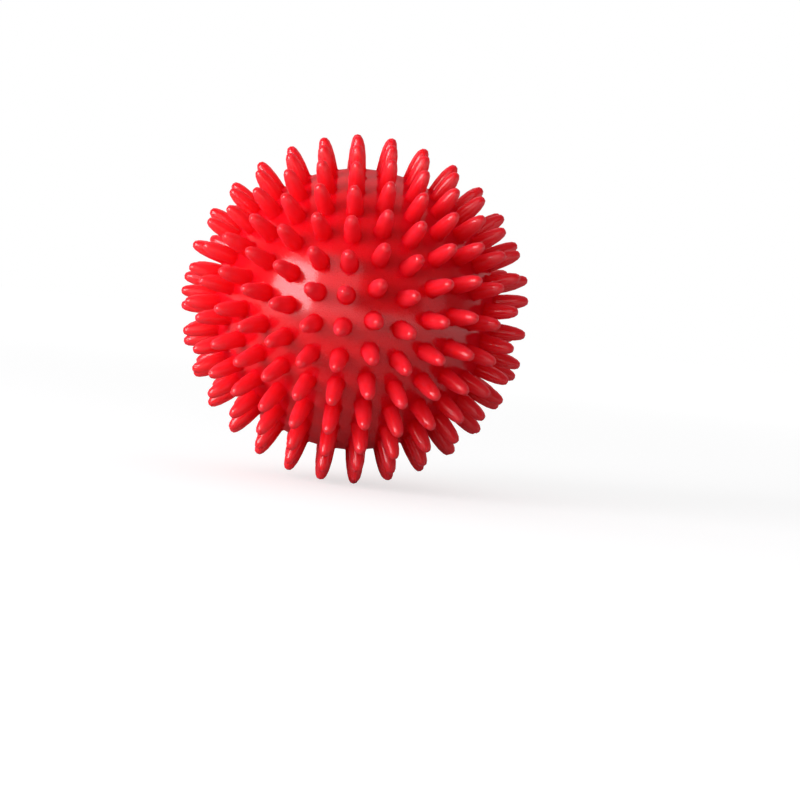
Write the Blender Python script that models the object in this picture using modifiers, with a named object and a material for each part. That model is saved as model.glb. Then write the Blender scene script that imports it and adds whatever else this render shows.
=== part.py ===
"""Spiky massage ball: a soft air-filled shell with its spikes moulded on, and a plugged valve.

Metres, +Z up, origin at the ball's centre. The rings of spikes and the valve share the X axis,
and the valve is at the +X pole. Every piece is modelled about its own Z axis, which the empty
ball_axis turns onto X.
"""

import math

import bmesh
import bpy
from mathutils import Vector

# Ball and its wall
BALL_DIAMETER = 0.090  # across opposite spike tips
SPIKE_LENGTH = 0.0088  # from the shell's surface to the tip
WALL = 0.003

# Spikes
SPIKE_DIAMETER = 0.0044  # at the foot
SPIKE_SIDES = 6
SPIKE_RINGS = 16  # rings of spikes from pole to pole, evenly spaced round the ball
EQUATOR_SPIKES = 30  # spikes round the widest circle, which set the pitch of every ring
# Share of its own pitch by which each ring is turned from the front, from the -X pole to the +X pole
RING_TURNS = (0, 0.3, 0.7, 0.4, 0.8, 0.1, 0.6, 0.6, 0.3, 0.5, 0.1, 0.9, 0, 0.6, 0.2, 0)
# Sections between foot and tip: share of the length, share of the width at the foot
SPIKE_SECTIONS = ((0.72, 0.66),)

# Valve: a flat landing on the shell, a boss inside it, the seat moulded into both, and its plug
LANDING_DIAMETER = 0.013
LANDING_SIDES = 24
LANDING_MARGIN = 0.0005  # bare shell between the landing and the nearest spike
BOSS_DIAMETER = 0.012
BOSS_LENGTH = 0.006  # from the landing to the boss's inner face
SEAT_FLANGE_DIAMETER = 0.0092
SEAT_FLANGE_THICKNESS = 0.0014
SEAT_TUBE_DIAMETER = 0.006
SEAT_COLLAR_WIDTH = 0.001  # how far the inner collar stands out of the tube
SEAT_COLLAR_THICKNESS = 0.0012
PLUG_HEAD_DIAMETER = 0.0056
PLUG_HEAD_THICKNESS = 0.0008
PLUG_STEM_DIAMETER = 0.0024
PLUG_NOSE_LENGTH = 0.001
PLUG_REACH = 0.0004  # how far the plug's nose stands past the seat's inner end

# Fits and facets
FIT_GAP = 0.0003  # clearance between pieces that touch
TURNED_SIDES = 24
CAVITY_STEPS = 12  # facets of the cavity's arc, pole to boss

SHELL_RADIUS = BALL_DIAMETER / 2 - SPIKE_LENGTH
CAVITY_RADIUS = SHELL_RADIUS - WALL
LANDING_RADIUS = LANDING_DIAMETER / 2
LANDING_HEIGHT = math.sqrt(SHELL_RADIUS**2 - LANDING_RADIUS**2)
BOSS_FACE = LANDING_HEIGHT - BOSS_LENGTH
SEAT_LENGTH = BOSS_LENGTH + FIT_GAP + SEAT_COLLAR_THICKNESS
SEAT_BORE_RADIUS = PLUG_STEM_DIAMETER / 2 + FIT_GAP
HEAD_POCKET_DEPTH = PLUG_HEAD_THICKNESS + FIT_GAP
PLUG_LENGTH = SEAT_LENGTH + PLUG_REACH


def clear_scene():
    for obj in list(bpy.data.objects):
        bpy.data.objects.remove(obj)
    for coll in list(bpy.data.collections):
        bpy.data.collections.remove(coll)


def new_collection(name):
    coll = bpy.data.collections.new(name)
    bpy.context.scene.collection.children.link(coll)
    return coll


def new_material(name, color, roughness):
    mat = bpy.data.materials.new(name)
    mat.use_nodes = True
    shader = mat.node_tree.nodes["Principled BSDF"]
    shader.inputs["Base Color"].default_value = (*color, 1)
    shader.inputs["Roughness"].default_value = roughness
    shader.inputs["Metallic"].default_value = 0
    mat.diffuse_color = (*color, 1)
    return mat


def mesh_object(name, mesh, coll, mat=None):
    obj = bpy.data.objects.new(name, mesh)
    coll.objects.link(obj)
    if mat:
        mesh.materials.append(mat)
    return obj


def smooth(mesh, angle=30):
    mesh.shade_smooth()
    mesh.set_sharp_from_angle(angle=math.radians(angle))


def turned(name, profile, coll, mat=None, closed=False):
    """Turn a profile of (radius, height) points, run down its outer side, about the Z axis."""
    mesh = bpy.data.meshes.new(name)
    last = len(profile) - 1
    edges = [(i, i + 1) for i in range(last)]
    if closed:
        edges.append((last, 0))
    mesh.from_pydata([(radius, 0, height) for radius, height in profile], edges, [])
    obj = mesh_object(name, mesh, coll, mat)
    screw = obj.modifiers.new("turn", "SCREW")
    screw.steps = TURNED_SIDES
    screw.render_steps = TURNED_SIDES
    screw.use_merge_vertices = True
    screw.merge_threshold = 0.00001
    screw.use_smooth_shade = False
    return obj


def spike_directions():
    """Unit vectors of the spikes, ring by ring, with none that would stand on the landing."""
    pitch = math.pi / SPIKE_RINGS
    free_radius = LANDING_RADIUS + LANDING_MARGIN + SPIKE_DIAMETER / 2
    directions = []
    for ring in range(SPIKE_RINGS):
        latitude = pitch * (ring + 0.5) - math.pi / 2
        width = math.cos(latitude)
        if latitude > 0 and SHELL_RADIUS * width < free_radius:
            continue
        count = max(1, round(EQUATOR_SPIKES * width))
        turn = RING_TURNS[ring % len(RING_TURNS)]
        for place in range(count):
            angle = math.tau * (place + turn) / count - math.pi / 2
            directions.append(Vector((width * math.cos(angle), width * math.sin(angle), math.sin(latitude))))
    return directions


def add_circle(bm, direction, radius, sides):
    """Points round a direction, on the shell's sphere."""
    turn = Vector((0, 0, 1)).rotation_difference(direction).to_matrix()
    rise = math.sqrt(SHELL_RADIUS**2 - radius**2)
    points = []
    for side in range(sides):
        angle = math.tau * side / sides
        points.append(bm.verts.new(turn @ Vector((radius * math.cos(angle), radius * math.sin(angle), rise))))
    return points


def merge_flat_face(bm, points):
    """One face in place of the triangles between these points."""
    ring = set(points)
    inside = {face for point in points for face in point.link_faces if ring.issuperset(face.verts)}
    bmesh.ops.dissolve_faces(bm, faces=list(inside))
    return next(face for face in points[0].link_faces if ring.issuperset(face.verts))


def raise_faces(bm, faces, radius, share):
    """Extrude each face out to a distance from the centre, and scale it to a share of its width."""
    tops = bmesh.ops.extrude_discrete_faces(bm, faces=faces)["faces"]
    for top in tops:
        centre = top.calc_center_median()
        outward = centre.normalized() * radius
        for vert in top.verts:
            vert.co = outward + (vert.co - centre) * share
    return tops


def shell_mesh():
    """The skin of the ball: a hull through every foot and the landing, with each foot drawn out."""
    bm = bmesh.new()
    feet = [add_circle(bm, way, SPIKE_DIAMETER / 2, SPIKE_SIDES) for way in spike_directions()]
    landing = add_circle(bm, Vector((0, 0, 1)), LANDING_RADIUS, LANDING_SIDES)
    bmesh.ops.convex_hull(bm, input=bm.verts)
    merge_flat_face(bm, landing)
    tops = [merge_flat_face(bm, foot) for foot in feet]
    width = 1
    for height, share in SPIKE_SECTIONS:
        tops = raise_faces(bm, tops, SHELL_RADIUS + SPIKE_LENGTH * height, share / width)
        width = share
    for tip in bmesh.ops.poke(bm, faces=tops)["verts"]:
        tip.co = tip.co.normalized() * (SHELL_RADIUS + SPIKE_LENGTH)
    bmesh.ops.recalc_face_normals(bm, faces=bm.faces)
    mesh = bpy.data.meshes.new("ball_shell")
    bm.to_mesh(mesh)
    bm.free()
    return mesh


def shell_hollow(coll):
    """Cutter for the air space, the bore through the boss and the pocket for the seat's flange."""
    pocket_radius = SEAT_FLANGE_DIAMETER / 2 + FIT_GAP
    pocket_floor = LANDING_HEIGHT - SEAT_FLANGE_THICKNESS - FIT_GAP
    bore_radius = SEAT_TUBE_DIAMETER / 2 + FIT_GAP
    boss_radius = BOSS_DIAMETER / 2
    above = LANDING_HEIGHT + WALL
    profile = [
        (0, above),
        (pocket_radius, above),
        (pocket_radius, pocket_floor),
        (bore_radius, pocket_floor),
        (bore_radius, BOSS_FACE),
        (boss_radius, BOSS_FACE),
    ]
    start = math.asin(boss_radius / CAVITY_RADIUS)
    for step in range(CAVITY_STEPS + 1):
        angle = start + (math.pi - start) * step / CAVITY_STEPS
        profile.append((CAVITY_RADIUS * math.sin(angle), CAVITY_RADIUS * math.cos(angle)))
    profile[-1] = (0, -CAVITY_RADIUS)
    cutter = turned("shell_hollow", profile, coll)
    cutter.hide_render = True
    cutter.display_type = "WIRE"
    return cutter


def make_shell(coll, cutters, mat, axis):
    mesh = shell_mesh()
    shell = mesh_object("ball_shell", mesh, coll, mat)
    shell.parent = axis
    cutter = shell_hollow(cutters)
    cutter.parent = axis
    cut = shell.modifiers.new("hollow", "BOOLEAN")
    cut.operation = "DIFFERENCE"
    cut.solver = "EXACT"
    cut.object = cutter
    smooth(mesh)
    return shell


def make_seat(coll, mat, axis):
    """Flanged bush, modelled with the landing's level at 0."""
    flange = SEAT_FLANGE_DIAMETER / 2
    tube = SEAT_TUBE_DIAMETER / 2
    collar = tube + SEAT_COLLAR_WIDTH
    collar_top = -BOSS_LENGTH - FIT_GAP
    pocket = PLUG_HEAD_DIAMETER / 2 + FIT_GAP
    profile = [
        (flange, 0),
        (flange, -SEAT_FLANGE_THICKNESS),
        (tube, -SEAT_FLANGE_THICKNESS),
        (tube, collar_top),
        (collar, collar_top),
        (collar, -SEAT_LENGTH),
        (SEAT_BORE_RADIUS, -SEAT_LENGTH),
        (SEAT_BORE_RADIUS, -HEAD_POCKET_DEPTH),
        (pocket, -HEAD_POCKET_DEPTH),
        (pocket, 0),
    ]
    seat = turned("valve_seat", profile, coll, mat, closed=True)
    seat.parent = axis
    seat.location = (0, 0, LANDING_HEIGHT)
    return seat


def make_plug(coll, mat, axis):
    """Stopper on the valve's axis, its head level with the landing."""
    head = PLUG_HEAD_DIAMETER / 2
    stem = PLUG_STEM_DIAMETER / 2
    profile = [
        (0, 0),
        (head, 0),
        (head, -PLUG_HEAD_THICKNESS),
        (stem, -PLUG_HEAD_THICKNESS),
        (stem, -PLUG_LENGTH + PLUG_NOSE_LENGTH),
        (stem / 2, -PLUG_LENGTH),
        (0, -PLUG_LENGTH),
    ]
    plug = turned("valve_plug", profile, coll, mat)
    plug.parent = axis
    plug.location = (0, 0, LANDING_HEIGHT)
    return plug


def make_ball():
    clear_scene()
    ball = new_collection("spiky_massage_ball")
    cutters = new_collection("cutters")
    axis = bpy.data.objects.new("ball_axis", None)
    axis.rotation_euler = (0, math.radians(90), 0)
    ball.objects.link(axis)
    make_shell(ball, cutters, new_material("shell_red", (0.78, 0.012, 0.02), 0.34), axis)
    make_seat(ball, new_material("seat_red", (0.62, 0.01, 0.016), 0.42), axis)
    make_plug(ball, new_material("plug_red", (0.7, 0.012, 0.02), 0.4), axis)


make_ball()
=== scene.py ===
import math

import bmesh
import bpy
from mathutils import Matrix, Vector


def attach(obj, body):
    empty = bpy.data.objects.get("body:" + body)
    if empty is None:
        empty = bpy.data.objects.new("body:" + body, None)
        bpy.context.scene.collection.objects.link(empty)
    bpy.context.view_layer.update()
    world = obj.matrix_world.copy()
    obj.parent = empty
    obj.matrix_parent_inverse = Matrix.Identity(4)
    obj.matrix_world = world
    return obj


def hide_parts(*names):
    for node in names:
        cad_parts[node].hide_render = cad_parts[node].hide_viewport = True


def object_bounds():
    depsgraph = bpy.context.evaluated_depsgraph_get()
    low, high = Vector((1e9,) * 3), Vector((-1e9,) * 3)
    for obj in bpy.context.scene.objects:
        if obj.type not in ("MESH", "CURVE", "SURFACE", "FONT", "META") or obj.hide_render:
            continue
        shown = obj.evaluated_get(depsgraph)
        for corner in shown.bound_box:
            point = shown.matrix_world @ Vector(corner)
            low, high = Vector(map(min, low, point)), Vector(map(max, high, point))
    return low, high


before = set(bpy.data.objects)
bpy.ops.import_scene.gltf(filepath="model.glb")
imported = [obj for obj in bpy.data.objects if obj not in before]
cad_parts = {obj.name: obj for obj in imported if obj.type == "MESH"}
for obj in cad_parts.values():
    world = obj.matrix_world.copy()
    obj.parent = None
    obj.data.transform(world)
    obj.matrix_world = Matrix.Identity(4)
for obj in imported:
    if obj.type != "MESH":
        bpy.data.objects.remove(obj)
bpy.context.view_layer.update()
print("frame loaded:", ", ".join(sorted(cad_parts)))

# Sizes are in metres and repeat the part's own. Each piece is modelled about Z,
# and layDown then points its top, where the valve is, along +X.
layDown = Matrix.Rotation(math.radians(90), 4, "Y")


# Node helpers

nodeGrid = (220, -180)         # spacing of the nodes in the editor


def addNode(tree, kind, place, inputs=None, **settings):
    node = tree.nodes.new(kind)
    node.location = (place[0] * nodeGrid[0], place[1] * nodeGrid[1])
    for name, value in settings.items():
        setattr(node, name, value)
    for name, value in (inputs or {}).items():
        node.inputs[name].default_value = value
    return node


def addRamp(tree, place, source, reach, values=(0, 1)):
    # goes from the first value to the second while source crosses the reach
    node = addNode(tree, "ShaderNodeMapRange", place, {
        "From Min": reach[0],
        "From Max": reach[1],
        "To Min": values[0],
        "To Max": values[1],
    })
    tree.links.new(source, node.inputs["Value"])
    return node.outputs["Result"]


def addColorMix(tree, place, factor, first, second):
    node = addNode(tree, "ShaderNodeMix", place, data_type="RGBA")
    for index, source in ((0, factor), (6, first), (7, second)):   # the colour version's own sockets
        if isinstance(source, bpy.types.NodeSocket):
            tree.links.new(source, node.inputs[index])
        else:
            node.inputs[index].default_value = source
    return node.outputs[2]


# Soft PVC: clouds of thicker and thinner pigment, and the fine grain of the mould

softPvcInputs = (
    ("Color", "NodeSocketColor", (0.8, 0.012, 0.02, 1)),
    ("Deep Color", "NodeSocketColor", (0.6, 0.006, 0.01, 1)),
    ("Cloud Scale", "NodeSocketFloat", 70),
    ("Cloud Amount", "NodeSocketFloat", 0.5),
    ("Grain Scale", "NodeSocketFloat", 3000),
    ("Roughness", "NodeSocketFloat", 0.35),
    ("Roughness Spread", "NodeSocketFloat", 0.08),
)
softPvcOutputs = (
    ("Color", "NodeSocketColor"),
    ("Roughness", "NodeSocketFloat"),
    ("Grain", "NodeSocketFloat"),
)


def buildSoftPvcGroup():
    group = bpy.data.node_groups.new("softPvcFinish", "ShaderNodeTree")
    for name, kind, value in softPvcInputs:
        group.interface.new_socket(name, in_out="INPUT", socket_type=kind).default_value = value
    for name, kind in softPvcOutputs:
        group.interface.new_socket(name, in_out="OUTPUT", socket_type=kind)
    link = group.links.new
    start = addNode(group, "NodeGroupInput", (0, 0))
    end = addNode(group, "NodeGroupOutput", (6, 0))
    coords = addNode(group, "ShaderNodeTexCoord", (0, 3))
    clouds = addNode(group, "ShaderNodeTexNoise", (1, 1), {"Detail": 3, "Roughness": 0.55, "Distortion": 0.4})
    grain = addNode(group, "ShaderNodeTexNoise", (1, 3), {"Detail": 2, "Roughness": 0.6})
    spread = addNode(group, "ShaderNodeMapRange", (2, 1), {   # most of the noise lies between these
        "From Min": 0.36,
        "From Max": 0.66,
    })
    share = addNode(group, "ShaderNodeMath", (3, 0), operation="MULTIPLY")
    rough = addNode(group, "ShaderNodeMath", (4, 2), operation="MULTIPLY_ADD")
    link(coords.outputs["Object"], clouds.inputs["Vector"])
    link(coords.outputs["Object"], grain.inputs["Vector"])
    link(start.outputs["Cloud Scale"], clouds.inputs["Scale"])
    link(start.outputs["Grain Scale"], grain.inputs["Scale"])
    link(clouds.outputs["Fac"], spread.inputs["Value"])
    link(spread.outputs["Result"], share.inputs[0])
    link(start.outputs["Cloud Amount"], share.inputs[1])
    colors = start.outputs["Color"], start.outputs["Deep Color"]
    link(addColorMix(group, (4, 0), share.outputs["Value"], *colors), end.inputs["Color"])
    link(spread.outputs["Result"], rough.inputs[0])
    link(start.outputs["Roughness Spread"], rough.inputs[1])
    link(start.outputs["Roughness"], rough.inputs[2])
    link(rough.outputs["Value"], end.inputs["Roughness"])
    link(grain.outputs["Fac"], end.inputs["Grain"])
    return group


softPvcGroup = buildSoftPvcGroup()
pvc = {
    "ior": 1.5,
    "scatterShares": (1, 0.2, 0.14),   # how far red, green and blue travel inside
}


def softPvc(name, look):
    material = bpy.data.materials.new(name)
    material.use_nodes = True
    material.diffuse_color = (*look["color"], 1)
    tree = material.node_tree
    shader = tree.nodes["Principled BSDF"]
    shader.inputs["IOR"].default_value = pvc["ior"]
    shader.inputs["Specular IOR Level"].default_value = look["shine"]
    shader.inputs["Coat Weight"].default_value = look["film"]
    shader.inputs["Coat Roughness"].default_value = look["filmRoughness"]
    shader.inputs["Subsurface Weight"].default_value = look["subsurface"]
    shader.inputs["Subsurface Radius"].default_value = pvc["scatterShares"]
    shader.inputs["Subsurface Scale"].default_value = look["scatter"]
    finish = addNode(tree, "ShaderNodeGroup", (-4, 0), {
        "Color": (*look["color"], 1),
        "Deep Color": (*look["deepColor"], 1),
        "Cloud Scale": look["cloudScale"],
        "Cloud Amount": look["cloudAmount"],
        "Grain Scale": look["grainScale"],
        "Roughness": look["roughness"],
        "Roughness Spread": look["roughnessSpread"],
    }, node_tree=softPvcGroup)
    bump = addNode(tree, "ShaderNodeBump", (-2, 2), {
        "Strength": look["grainStrength"],
        "Distance": look["grainDepth"],
    })
    tree.links.new(finish.outputs["Color"], shader.inputs["Base Color"])
    tree.links.new(finish.outputs["Roughness"], shader.inputs["Roughness"])
    tree.links.new(finish.outputs["Grain"], bump.inputs["Height"])
    tree.links.new(bump.outputs["Normal"], shader.inputs["Normal"])
    return material


# Mesh helpers

hardAngle = math.radians(40)   # edges sharper than this are rounded
tiny = 0.000001                # lengths that differ by less count as the same


def addPiece(name, bm, material, node, body):
    bmesh.ops.transform(bm, matrix=layDown, verts=bm.verts)
    mesh = bpy.data.meshes.new(name)
    bm.to_mesh(mesh)
    bm.free()
    mesh.shade_smooth()
    mesh.materials.append(material)
    piece = bpy.data.objects.new(name, mesh)
    bpy.context.scene.collection.objects.link(piece)
    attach(piece, body)
    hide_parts(node)
    print(f"{name}: {len(mesh.polygons)} faces, rides on {body}")
    return piece


def roundEdges(bm, edges, width):
    bmesh.ops.bevel(
        bm, geom=edges, offset=width, segments=2, profile=0.5, affect="EDGES", material=-1,
        clamp_overlap=True,
    )


def turnProfile(profile, steps, edgeWidth, closed=False):
    # spins points of (radius, height) once round Z and rounds the hard edges
    bm = bmesh.new()
    points = [bm.verts.new((radius, 0, height)) for radius, height in profile]
    for first, second in zip(points, points[1:]):
        bm.edges.new((first, second))
    if closed:
        bm.edges.new((points[-1], points[0]))
    bmesh.ops.spin(
        bm, geom=bm.verts[:] + bm.edges[:], cent=(0, 0, 0), axis=(0, 0, 1), angle=math.tau, steps=steps,
        use_merge=True,
    )
    bmesh.ops.remove_doubles(bm, verts=bm.verts, dist=tiny)
    bmesh.ops.recalc_face_normals(bm, faces=bm.faces)
    roundEdges(bm, [e for e in bm.edges if e.calc_face_angle(0) > hardAngle], edgeWidth)
    return bm


# Shell: the round wall with its spikes moulded on, and the boss inside it that holds the valve

shell = {
    "radius": 0.0362,
    "wall": 0.003,
    "rings": 16,                 # rings of spikes from pole to pole
    "equatorSpikes": 30,
    "ringTurns": (0, 0.3, 0.7, 0.4, 0.8, 0.1, 0.6, 0.6, 0.3, 0.5, 0.1, 0.9, 0, 0.6, 0.2, 0),
    "spikeLength": 0.0088,
    "footRadius": 0.00208,
    "filletRadius": 0.0024,      # where the hollow round the foot has died out
    "spikeSides": 14,
    "spikeSections": (0.04, 0.42, 0.7, 0.88, 0.97),   # shares of the length
    "bluntness": 2.7,            # 2 is half an ellipse, and more is blunter
    "landingRadius": 0.0065,     # flat round the valve
    "landingMargin": 0.0005,     # bare shell between the landing and the nearest spike
    "pocketRadius": 0.0049,
    "pocketDepth": 0.0017,
    "boreRadius": 0.0033,
    "bossRadius": 0.006,
    "bossLength": 0.006,
    "turnSteps": 48,
    "cavitySteps": 20,
    "edge": 0.0002,
}
shellLook = {
    "color": (0.82, 0.004, 0.012),
    "deepColor": (0.68, 0.002, 0.007),
    "cloudScale": 55,
    "cloudAmount": 0.5,
    "grainScale": 3400,
    "grainStrength": 1,
    "grainDepth": 0.0003,
    "spikeGrain": 0.2,           # share of the grain that the spikes show
    "shine": 0,                  # the PVC's own, where 0.5 is a plain plastic's: here the film has it all
    "roughness": 0.38,
    "roughnessSpread": 0.06,
    "film": 1,                   # gloss of the plasticiser on the surface
    "filmRoughness": 0.16,
    "filmAtEdge": 0.15,          # what is left of it at a glancing look
    "glancing": (0.3, 0.8),      # where it starts to dull, and where it has: 0 is face on and 1 edge on
    "subsurface": 1,
    "scatter": 0.0026,
    # painted light: this brighter red on the upper spikes stands for the light they catch, against the
    # shell's darker red for the shade between them
    "paintedLitSpikeColor": (0.98, 0.018, 0.032),
    "spikeFilm": 1,
    "spikeRoughness": 0.35,      # the spikes are rubbed smoother than the shell between them
    # heights over the shell between which the finish, and the painted light and shade on the spikes, change
    "filmEnd": (-0.00002, 0.00006),
    "grainFade": (0.0002, 0.001),
    "spikeFilmStart": (0.0004, 0.0012),
    "paintedLightAndSmoothStart": (0.0004, 0.00528),
}
landingHeight = math.sqrt(shell["radius"] ** 2 - shell["landingRadius"] ** 2)


def spikeWays():
    pitch = math.pi / shell["rings"]
    freeRadius = shell["landingRadius"] + shell["landingMargin"] + shell["footRadius"]
    ways = []
    for ring in range(shell["rings"]):
        latitude = pitch * (ring + 0.5) - math.pi / 2
        width = math.cos(latitude)
        if latitude > 0 and shell["radius"] * width < freeRadius:
            continue             # these would stand on the landing
        count = max(1, round(shell["equatorSpikes"] * width))
        for place in range(count):
            angle = math.tau * (place + shell["ringTurns"][ring]) / count - math.pi / 2
            ways.append(Vector((width * math.cos(angle), width * math.sin(angle), math.sin(latitude))))
    return ways


def addRing(bm, way, radius, sides):
    # a circle of points round this way out, on the sphere
    turn = Vector((0, 0, 1)).rotation_difference(way).to_matrix().to_4x4()
    rise = Matrix.Translation((0, 0, math.sqrt(shell["radius"] ** 2 - radius**2)))
    return bmesh.ops.create_circle(bm, segments=sides, radius=radius, matrix=turn @ rise)["verts"]


def joinDisc(bm, points):
    # one face in place of the triangles that the hull laid across this circle
    ring = set(points)
    inside = {face for point in points for face in point.link_faces if ring.issuperset(face.verts)}
    bmesh.ops.dissolve_faces(bm, faces=list(inside))
    return next(face for face in points[0].link_faces if ring.issuperset(face.verts))


def drawSpikes(bm, faces):
    # each foot's face is drawn out to a blunt tip, and its points keep the true curve's own normals
    facing = bm.verts.layers.float_vector["facing"]
    power = shell["bluntness"]
    for height in shell["spikeSections"]:
        width = (1 - height**power) ** (1 / power)
        distance = shell["radius"] + shell["spikeLength"] * height
        faces = bmesh.ops.extrude_discrete_faces(bm, faces=faces)["faces"]
        for face in faces:
            middle = face.calc_center_median()
            way = middle.normalized()
            for vert in face.verts:
                side = (vert.co - middle).normalized()
                vert.co = way * distance + side * shell["footRadius"] * width
                steepness = side * width ** (power - 1) / shell["footRadius"]
                vert[facing] = steepness + way * height ** (power - 1) / shell["spikeLength"]
    for tip in bmesh.ops.poke(bm, faces=faces)["verts"]:
        tip.co = tip.co.normalized() * (shell["radius"] + shell["spikeLength"])
        tip[facing] = tip.co


def hollowOut(bm, face):
    # draws the landing's face in: round the pocket, down the bore, out round the boss and over the cavity
    cavityRadius = shell["radius"] - shell["wall"]
    bossFace = landingHeight - shell["bossLength"]
    pocketFloor = landingHeight - shell["pocketDepth"]
    profile = [
        (shell["landingRadius"] - shell["edge"], landingHeight),
        (shell["pocketRadius"], landingHeight),
        (shell["pocketRadius"], pocketFloor),
        (shell["boreRadius"], pocketFloor),
        (shell["boreRadius"], bossFace),
        (shell["bossRadius"], bossFace),
    ]
    start = math.asin(shell["bossRadius"] / cavityRadius)
    for step in range(shell["cavitySteps"]):
        angle = start + (math.pi - start) * step / shell["cavitySteps"]
        profile.append((cavityRadius * math.sin(angle), cavityRadius * math.cos(angle)))
    for radius, height in profile:
        face = bmesh.ops.extrude_discrete_faces(bm, faces=[face])["faces"][0]
        for vert in face.verts:
            vert.co = Vector((vert.co.x, vert.co.y, 0)).normalized() * radius + Vector((0, 0, height))
    bmesh.ops.poke(bm, faces=[face])["verts"][0].co = (0, 0, -cavityRadius)


def overShell(heights):
    return [shell["radius"] + height for height in heights]


def shellMaterial():
    # the distance from the ball's centre tells the spikes from the shell
    material = softPvc("shellPvc", shellLook)
    tree = material.node_tree
    link = tree.links.new
    shader = tree.nodes["Principled BSDF"]
    coords = addNode(tree, "ShaderNodeTexCoord", (-6, 3))
    length = addNode(tree, "ShaderNodeVectorMath", (-5, 3), operation="LENGTH")
    link(coords.outputs["Object"], length.inputs[0])
    distance = length.outputs["Value"]

    # painted light and shade: the spikes are coloured a brighter red towards their tips, and their feet and
    # the shell a darker red, standing for the light the tips catch and the shade between the spikes; the
    # spikes are also smoother than the shell
    paintedLightAndSmoothShare = addRamp(tree, (-4, 3), distance, overShell(shellLook["paintedLightAndSmoothStart"]))
    color = shader.inputs["Base Color"].links[0].from_socket
    paintedLitColor = addColorMix(tree, (-2, 0), paintedLightAndSmoothShare, color, (*shellLook["paintedLitSpikeColor"], 1))
    link(paintedLitColor, shader.inputs["Base Color"])
    smoother = addNode(tree, "ShaderNodeMath", (-2, 1), {
        1: shellLook["spikeRoughness"] - shellLook["roughness"],
    }, operation="MULTIPLY_ADD")
    link(paintedLightAndSmoothShare, smoother.inputs[0])
    link(shader.inputs["Roughness"].links[0].from_socket, smoother.inputs[2])
    link(smoother.outputs["Value"], shader.inputs["Roughness"])

    # the mould's grain shows on the bare shell, and hardly on the spikes
    bump = shader.inputs["Normal"].links[0].from_node
    worn = addRamp(tree, (-4, 12), distance, overShell(shellLook["grainFade"]), (1, shellLook["spikeGrain"]))
    height = addNode(tree, "ShaderNodeMath", (-3, 12), operation="MULTIPLY")
    link(bump.inputs["Height"].links[0].from_socket, height.inputs[0])
    link(worn, height.inputs[1])
    link(height.outputs["Value"], bump.inputs["Height"])

    # the film is missing in the hollow round each foot, where nothing rubs, and dulls at a glancing look
    spikeFilm = (0, shellLook["spikeFilm"])
    onShell = addRamp(tree, (-4, 6), distance, overShell(shellLook["filmEnd"]), (shellLook["film"], 0))
    above = addRamp(tree, (-4, 8), distance, overShell(shellLook["spikeFilmStart"]), spikeFilm)
    film = addNode(tree, "ShaderNodeMath", (-2, 6), operation="ADD")
    look = addNode(tree, "ShaderNodeLayerWeight", (-4, 10)).outputs["Facing"]
    dulled = addRamp(tree, (-2, 8), look, shellLook["glancing"], (1, shellLook["filmAtEdge"]))
    gloss = addNode(tree, "ShaderNodeMath", (-1, 6), operation="MULTIPLY")
    link(onShell, film.inputs[0])
    link(above, film.inputs[1])
    link(film.outputs["Value"], gloss.inputs[0])
    link(dulled, gloss.inputs[1])
    link(gloss.outputs["Value"], shader.inputs["Coat Weight"])
    return material


def shadeAsCurved(piece):
    # the bare shell is shaded as a true sphere, and the spikes as true curves
    normals = []
    for vert, facing in zip(piece.data.vertices, piece.data.attributes["facing"].data):
        if facing.vector.length > 0:
            normals.append((layDown.to_3x3() @ facing.vector).normalized())
        elif abs(vert.co.length - shell["radius"]) < tiny:
            normals.append(vert.co.normalized())
        else:
            normals.append(vert.normal)
    piece.data.attributes.remove(piece.data.attributes["facing"])
    piece.data.normals_split_custom_set_from_vertices(normals)


def makeShell():
    bm = bmesh.new()
    bm.verts.layers.float_vector.new("facing")
    feet = [addRing(bm, way, shell["filletRadius"], shell["spikeSides"]) for way in spikeWays()]
    landing = addRing(bm, Vector((0, 0, 1)), shell["landingRadius"], shell["turnSteps"])
    bmesh.ops.convex_hull(bm, input=bm.verts)
    drawSpikes(bm, [joinDisc(bm, foot) for foot in feet])
    hollowOut(bm, joinDisc(bm, landing))
    bmesh.ops.recalc_face_normals(bm, faces=bm.faces)
    mouth = [
        e for e in bm.edges
        if max(math.hypot(v.co.x, v.co.y) for v in e.verts) < shell["landingRadius"] - shell["edge"]
        and min(v.co.z for v in e.verts) > 0 and e.calc_face_angle(0) > hardAngle
    ]
    roundEdges(bm, mouth, shell["edge"])
    shadeAsCurved(addPiece("spikyShell", bm, shellMaterial(), "ball_shell", "ball"))


makeShell()


# Valve seat: the flanged bush in the shell's boss

seat = {
    "flangeRadius": 0.0048,
    "flangeThickness": 0.0014,
    "tubeRadius": 0.003,
    "collarRadius": 0.004,
    "collarTop": 0.0063,         # depths below the landing
    "length": 0.0075,
    "boreRadius": 0.0015,
    "headPocketRadius": 0.0031,
    "headPocketDepth": 0.0011,
    "turnSteps": 48,
    "edge": 0.00018,
}
seatLook = {
    "color": (0.66, 0.009, 0.015),
    "deepColor": (0.52, 0.005, 0.009),
    "cloudScale": 160,
    "cloudAmount": 0.5,
    "grainScale": 4200,
    "grainStrength": 0.4,
    "grainDepth": 0.00003,
    "shine": 0.4,
    "roughness": 0.5,
    "roughnessSpread": 0.08,
    "film": 0.3,
    "filmRoughness": 0.28,
    "subsurface": 0.4,
    "scatter": 0.0015,
}


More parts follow.
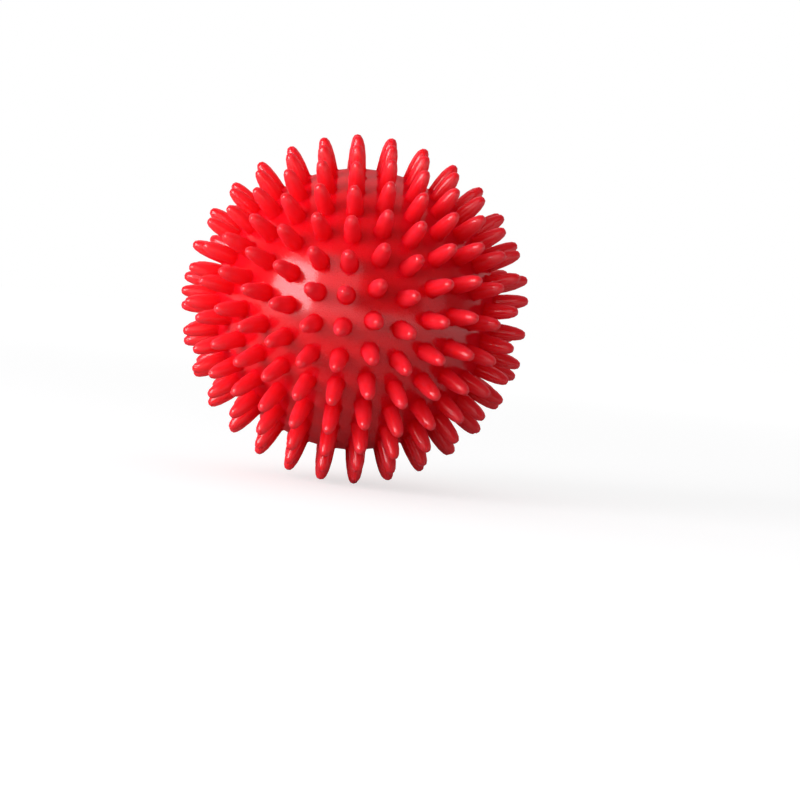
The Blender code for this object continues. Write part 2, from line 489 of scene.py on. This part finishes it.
def makeSeat():
    outline = (
        (seat["flangeRadius"], 0),
        (seat["flangeRadius"], -seat["flangeThickness"]),
        (seat["tubeRadius"], -seat["flangeThickness"]),
        (seat["tubeRadius"], -seat["collarTop"]),
        (seat["collarRadius"], -seat["collarTop"]),
        (seat["collarRadius"], -seat["length"]),
        (seat["boreRadius"], -seat["length"]),
        (seat["boreRadius"], -seat["headPocketDepth"]),
        (seat["headPocketRadius"], -seat["headPocketDepth"]),
        (seat["headPocketRadius"], 0),
    )
    bm = turnProfile(outline, seat["turnSteps"], seat["edge"], closed=True)
    bmesh.ops.translate(bm, vec=(0, 0, landingHeight), verts=bm.verts)
    addPiece("valveSeat", bm, softPvc("seatPvc", seatLook), "valve_seat", "ball")


makeSeat()


# Valve plug: flat head, stem with a sealing bead, and a tapered nose

stopper = {
    "headRadius": 0.0028,
    "headThickness": 0.0008,
    "dimpleRadius": 0.0005,      # mark where the plastic entered the mould
    "dimpleDepth": 0.0002,
    "stemRadius": 0.0012,
    "beadRadius": 0.00135,
    "beadDepths": (0.0052, 0.0057, 0.0062),
    "noseLength": 0.001,
    "noseRadius": 0.0006,
    "length": 0.0079,
    "turnSteps": 40,
    "edge": 0.00012,
}
stopperLook = {
    "color": (0.72, 0.011, 0.018),
    "deepColor": (0.6, 0.007, 0.012),
    "cloudScale": 200,
    "cloudAmount": 0.4,
    "grainScale": 4200,
    "grainStrength": 0.3,
    "grainDepth": 0.00003,
    "shine": 0.4,
    "roughness": 0.46,
    "roughnessSpread": 0.08,
    "film": 0.5,
    "filmRoughness": 0.22,
    "subsurface": 0.4,
    "scatter": 0.0015,
}


def makePlug():
    beadTop, beadMiddle, beadFoot = stopper["beadDepths"]
    outline = (
        (0, -stopper["dimpleDepth"]),
        (stopper["dimpleRadius"], 0),
        (stopper["headRadius"], 0),
        (stopper["headRadius"], -stopper["headThickness"]),
        (stopper["stemRadius"], -stopper["headThickness"]),
        (stopper["stemRadius"], -beadTop),
        (stopper["beadRadius"], -beadMiddle),
        (stopper["stemRadius"], -beadFoot),
        (stopper["stemRadius"], stopper["noseLength"] - stopper["length"]),
        (stopper["noseRadius"], -stopper["length"]),
        (0, -stopper["length"]),
    )
    bm = turnProfile(outline, stopper["turnSteps"], stopper["edge"])
    bmesh.ops.translate(bm, vec=(0, 0, landingHeight), verts=bm.verts)
    addPiece("valvePlug", bm, softPvc("plugPvc", stopperLook), "valve_plug", "plug")


makePlug()


# Camera, at the photograph's distance and angle

shot = {
    "lens": 90,
    "clipStart": 0.01,
    "distance": 0.517,
    "axisDip": -6.37,            # degrees by which the valve's axis dips to the right in the picture
    "axisTurn": -1.66,           # and turns away from the camera
    "aimRight": 0.0115,          # from the ball's centre to the middle of the picture
    "aimDown": 0.0234,
}


def pictureAxes():
    # right, up and towards the camera, as directions in the ball's frame
    dip = math.radians(shot["axisDip"])
    turn = math.radians(shot["axisTurn"])
    valveWay = Vector((math.cos(turn) * math.cos(dip), math.sin(dip), math.sin(turn) * math.cos(dip)))
    upWay = (Vector((0, 1, 0)) - valveWay * valveWay.y).normalized()
    frontWay = valveWay.cross(upWay)
    return Matrix((valveWay, -frontWay, upWay)).transposed()


picture = pictureAxes()


def makeCamera():
    right, up, back = picture[0], picture[1], picture[2]
    eye = back * shot["distance"]
    look = (eye - right * shot["aimRight"] + up * shot["aimDown"]).normalized()
    side = up.cross(look).normalized()
    camera = bpy.data.objects.new("camera", bpy.data.cameras.new("camera"))
    camera.data.lens = shot["lens"]
    camera.data.clip_start = shot["clipStart"]
    turn = Matrix((side, look.cross(side), look)).transposed().to_4x4()
    camera.matrix_world = Matrix.Translation(eye) @ turn
    bpy.context.scene.collection.objects.link(camera)
    bpy.context.scene.camera = camera
    print("camera at", [round(c, 3) for c in eye])


makeCamera()


# Studio: white sweep, a tall softbox on the left, a broad one towards the front and a weak one on the right

studio = {
    "lampColor": (0.97, 0.96, 1),
    "keyWay": (-0.79, 0.06, 0.6),     # right, up, towards the camera
    "keySize": (0.42, 0.78),
    "keyDistance": 0.65,
    "keyPower": 7.2,
    "wrapWay": (-0.5, 0.22, 0.84),
    "wrapSize": (1.1, 1.1),
    "wrapDistance": 0.9,
    "wrapPower": 3.6,
    "fillWay": (0.88, 0.1, 0.42),
    "fillSize": (0.3, 0.4),
    "fillDistance": 0.8,
    "fillPower": 0.15,
    "air": (0.34, 0.9),               # light from all round, least from the front right
    "airWay": (-0.5, 0, -0.86),       # and most from here, behind on the left
    "airSpread": (-0.5, 0.9),         # cosines from that way, between which it rises
    "mirrored": (0.1, 1),             # what reflections show of the room, and of the sweep behind
    "mirroredSpread": (0.1, 0.75),    # cosines from straight behind, between which it rises
    "floorColor": (0.42, 0.42, 0.42, 1),
    "floorGlow": (0.68, 0.78),        # what lifts the floor to white, near the object and far off
    "floorGlowReach": (0.1, 1.2),
    "floorMirrored": (0.1, 1),        # share of that in reflections, close to the object and farther out
    "floorMirroredReach": (0.06, 0.45),
    "floorRadius": 8,
}


def addSoftbox(name, way, size, distance, power):
    lamp = bpy.data.lights.new(name, "AREA")
    lamp.color = studio["lampColor"]
    lamp.shape = "RECTANGLE"
    lamp.size, lamp.size_y = size
    lamp.energy = power
    box = bpy.data.objects.new(name, lamp)
    place = picture.transposed() @ Vector(way).normalized() * distance
    box.location = place
    box.rotation_euler = (-place).to_track_quat("-Z", "Y").to_euler()
    bpy.context.scene.collection.objects.link(box)


def seenRays(tree, place, whiteness):
    # 1 for what the camera sees, straight or through something clear, and whiteness for a reflection
    path = addNode(tree, "ShaderNodeLightPath", place)
    share = addNode(tree, "ShaderNodeMath", (place[0] + 1, place[1] + 1), operation="MULTIPLY")
    tree.links.new(path.outputs["Is Glossy Ray"], share.inputs[0])
    tree.links.new(whiteness, share.inputs[1])
    seen = path.outputs["Is Camera Ray"]
    for step, ray in enumerate((path.outputs["Is Transmission Ray"], share.outputs["Value"])):
        larger = addNode(tree, "ShaderNodeMath", (place[0] + 2 + step, place[1]), operation="MAXIMUM")
        tree.links.new(seen, larger.inputs[0])
        tree.links.new(ray, larger.inputs[1])
        seen = larger.outputs["Value"]
    return seen, path.outputs["Is Diffuse Ray"]


def makeWorld():
    world = bpy.data.worlds.new("studioAir")
    world.use_nodes = True
    bpy.context.scene.world = world
    tree = world.node_tree
    link = tree.links.new
    sky = tree.nodes["Background"]
    sky.inputs["Color"].default_value = (1, 1, 1, 1)
    coords = addNode(tree, "ShaderNodeTexCoord", (-5, 4))
    behind = addNode(tree, "ShaderNodeVectorMath", (-4, 4), {1: -picture[2]}, operation="DOT_PRODUCT")
    airy = addNode(tree, "ShaderNodeVectorMath", (-4, 5), {
        1: picture.transposed() @ Vector(studio["airWay"]),
    }, operation="DOT_PRODUCT")
    air = addRamp(tree, (-3, 4), airy.outputs["Value"], studio["airSpread"], studio["air"])
    mirrored = addRamp(tree, (-3, 6), behind.outputs["Value"], studio["mirroredSpread"], studio["mirrored"])
    strength = addNode(tree, "ShaderNodeMath", (-1, 1), operation="MULTIPLY_ADD")
    seen, diffuse = seenRays(tree, (-6, 1), mirrored)
    link(coords.outputs["Generated"], behind.inputs[0])
    link(coords.outputs["Generated"], airy.inputs[0])
    link(air, strength.inputs[1])
    link(diffuse, strength.inputs[0])
    link(seen, strength.inputs[2])
    link(strength.outputs["Value"], sky.inputs["Strength"])


def makeFloor(height):
    material = bpy.data.materials.new("whiteSweep")
    material.use_nodes = True
    tree = material.node_tree
    link = tree.links.new
    tree.nodes.remove(tree.nodes["Principled BSDF"])
    paper = addNode(tree, "ShaderNodeBsdfDiffuse", (-2, -1), {"Color": studio["floorColor"]})
    glow = addNode(tree, "ShaderNodeEmission", (-2, 0), {"Color": (1, 1, 1, 1)})
    coords = addNode(tree, "ShaderNodeTexCoord", (-6, 3))
    distance = addNode(tree, "ShaderNodeVectorMath", (-5, 3), operation="LENGTH")
    away = distance.outputs["Value"]
    link(coords.outputs["Object"], distance.inputs[0])
    lift = addRamp(tree, (-4, 3), away, studio["floorGlowReach"], studio["floorGlow"])
    # reflections show the floor darker close to the object, where it lies in shade
    shade = addRamp(tree, (-4, 5), away, studio["floorMirroredReach"], studio["floorMirrored"])
    share = addNode(tree, "ShaderNodeMath", (-3, 2), operation="MULTIPLY")
    both = addNode(tree, "ShaderNodeAddShader", (0, 0))
    link(seenRays(tree, (-7, 1), shade)[0], share.inputs[0])
    link(lift, share.inputs[1])
    link(share.outputs["Value"], glow.inputs["Strength"])
    link(paper.outputs["BSDF"], both.inputs[0])
    link(glow.outputs["Emission"], both.inputs[1])
    link(both.outputs["Shader"], tree.nodes["Material Output"].inputs["Surface"])
    bm = bmesh.new()
    bmesh.ops.create_circle(bm, cap_ends=True, segments=64, radius=studio["floorRadius"])
    mesh = bpy.data.meshes.new("floor")
    bm.to_mesh(mesh)
    bm.free()
    mesh.materials.append(material)
    floor = bpy.data.objects.new("floor", mesh)
    floor.location.z = height
    bpy.context.scene.collection.objects.link(floor)


addSoftbox("keyBox", studio["keyWay"], studio["keySize"], studio["keyDistance"], studio["keyPower"])
addSoftbox("wrapBox", studio["wrapWay"], studio["wrapSize"], studio["wrapDistance"], studio["wrapPower"])
addSoftbox("fillBox", studio["fillWay"], studio["fillSize"], studio["fillDistance"], studio["fillPower"])
makeWorld()
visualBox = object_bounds()
makeFloor(visualBox[0].z)
bpy.context.scene.view_settings.view_transform = "Standard"
print("studio ready, floor at", round(visualBox[0].z, 4))
